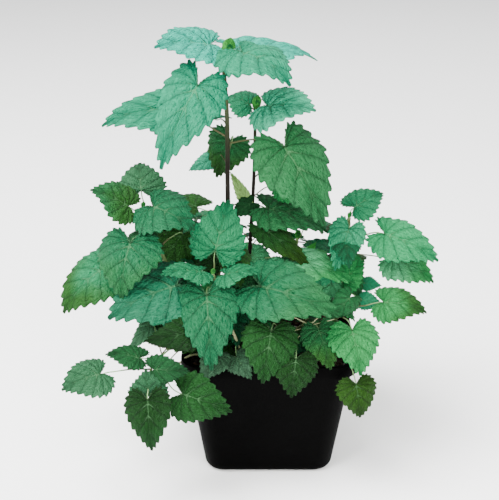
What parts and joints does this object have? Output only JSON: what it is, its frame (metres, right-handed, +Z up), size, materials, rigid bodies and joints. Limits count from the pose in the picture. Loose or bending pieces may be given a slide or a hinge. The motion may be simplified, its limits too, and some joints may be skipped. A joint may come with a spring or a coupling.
{
  "type": "potted catnip",
  "caption": "Young bushy herb with opposite heart-shaped toothed leaves on square stems, growing in a small tapered square nursery pot.",
  "frame": {"origin": "centre of the underside of the pot, on the surface it stands on", "axes": "+Z up along the tall stem, -Y towards the front of the plant, +X to its right"},
  "size_m": [0.211, 0.1657, 0.2474],
  "materials": {
    "pot_plastic": "satin",
    "potting_mix": "matte",
    "tall_stem": "satin",
    "young_stem": "satin",
    "leaf_blue_green": "matte",
    "leaf_green": "matte"
  },
  "bodies": {
    "root": {"pot": "pot_plastic", "soil": "potting_mix", "tall_stem": "tall_stem", "tall_leaf_1": "leaf_blue_green", "tall_leaf_2": "leaf_blue_green", "tall_leaf_3": "leaf_blue_green", "tall_leaf_4": "leaf_blue_green", "tall_leaf_5": "leaf_blue_green", "tall_leaf_6": "leaf_blue_green", "tall_leaf_7": "leaf_blue_green", "second_stem": "tall_stem", "second_leaf_1": "leaf_blue_green", "second_leaf_2": "leaf_blue_green", "second_leaf_3": "leaf_blue_green", "second_leaf_4": "leaf_blue_green", "second_leaf_5": "leaf_blue_green", "second_leaf_6": "leaf_blue_green", "centre_stem": "young_stem", "centre_leaf_1": "leaf_blue_green", "centre_leaf_2": "leaf_blue_green", "centre_leaf_3": "leaf_blue_green", "centre_leaf_4": "leaf_blue_green", "centre_leaf_5": "leaf_blue_green", "centre_leaf_6": "leaf_blue_green", "left_stem": "young_stem", "left_leaf_1": "leaf_green", "left_leaf_2": "leaf_green", "left_leaf_3": "leaf_green", "left_leaf_4": "leaf_green", "left_leaf_5": "leaf_green", "low_left_stem": "young_stem", "low_left_leaf_1": "leaf_green", "low_left_leaf_2": "leaf_green", "low_left_leaf_3": "leaf_green", "low_left_leaf_4": "leaf_green", "low_left_leaf_5": "leaf_green", "right_stem": "young_stem", "right_leaf_1": "leaf_green", "right_leaf_2": "leaf_green", "right_leaf_3": "leaf_green", "right_leaf_4": "leaf_green", "right_leaf_5": "leaf_green", "low_right_stem": "young_stem", "low_right_leaf_1": "leaf_green", "low_right_leaf_2": "leaf_green", "low_right_leaf_3": "leaf_green", "front_stem": "young_stem", "front_leaf_1": "leaf_green", "front_leaf_2": "leaf_green", "front_leaf_3": "leaf_green", "back_left_stem": "young_stem", "back_left_leaf_1": "leaf_green", "back_left_leaf_2": "leaf_green", "back_left_leaf_3": "leaf_green", "back_left_leaf_4": "leaf_green", "back_right_stem": "young_stem", "back_right_leaf_1": "leaf_green", "back_right_leaf_2": "leaf_green", "back_right_leaf_3": "leaf_green", "back_right_leaf_4": "leaf_green"}
  },
  "joints": []
}
